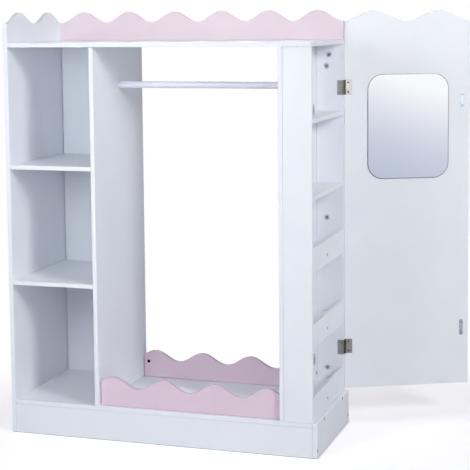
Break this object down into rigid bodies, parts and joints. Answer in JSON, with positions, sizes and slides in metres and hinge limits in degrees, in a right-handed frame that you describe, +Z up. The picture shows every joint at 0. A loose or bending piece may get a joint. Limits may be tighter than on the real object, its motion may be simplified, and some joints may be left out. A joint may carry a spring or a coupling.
{
  "type": "dress up storage unit with mirror",
  "caption": "Child's storage unit with cubbies, an open hanging bay, a tower of bins and a mirror door on butt hinges.",
  "frame": {"origin": "middle of the front plinth's underside, on the floor", "axes": "+Z up, +X to the right seen from the front, +Y to the back"},
  "size_m": [1.2193, 0.5492, 1.195],
  "materials": {
    "white_board": "satin white paint on medium-density fibreboard",
    "pink_board": "satin lilac-pink paint on medium-density fibreboard",
    "rail_paint": "white paint on a round wooden rail",
    "dowel_wood": "bare fluted beech",
    "zinc": "zinc-plated steel",
    "nickel": "satin nickel plate",
    "magnet_steel": "plain steel pole pieces",
    "catch_plastic": "white moulded plastic",
    "mirror": "silvered acrylic sheet, polished edge",
    "tape": "thin foam tape"
  },
  "bodies": {
    "unit": {"left_side_panel": "white_board", "left_back_panel": "white_board", "left_divider": "white_board", "upper_shelf": "white_board", "lower_shelf": "white_board", "bottom_board": "white_board", "top_board": "white_board", "top_rear_rail": "pink_board", "front_plinth": "white_board", "rear_plinth": "white_board", "base_side_panel": "white_board", "inner_wall": "white_board", "right_front_panel": "white_board", "right_back_panel": "white_board", "side_shelf_upper": "white_board", "side_shelf_lower": "white_board", "bin_shelf_upper": "white_board", "bin_shelf_middle": "white_board", "bin_shelf_lower": "white_board", "bin_rail_upper": "white_board", "bin_rail_middle": "white_board", "bin_rail_lower": "white_board", "bay_front_rail": "pink_board", "bay_rear_rail": "pink_board", "hanging_rail": "rail_paint", "wood_dowels": "dowel_wood", "carcass_screws": "zinc", "cam_nuts": "zinc", "cam_bolts": "zinc", "bay_rail_bolts": "zinc", "bay_barrel_nuts": "zinc", "bin_rail_screws": "zinc", "hanging_rail_screws": "zinc", "catch_housings": "catch_plastic", "catch_magnets": "magnet_steel", "catch_screws": "zinc", "hinge_frame_leaves": "nickel", "hinge_frame_screws": "nickel", "hinge_pins": "nickel"},
    "door": {"door_panel": "white_board", "mirror_sheet": "mirror", "mirror_tape": "tape", "hinge_door_leaves": "nickel", "hinge_door_screws": "nickel", "strike_plates": "nickel", "strike_screws": "nickel"}
  },
  "joints": [
    {"name": "door_hinge", "type": "hinge", "parent": "unit", "child": "door", "pos_m": [0.4392, 0.3665, 0.598], "axis": [0, 0, 1], "range_deg": [-116.5, 63.5]}
  ]
}
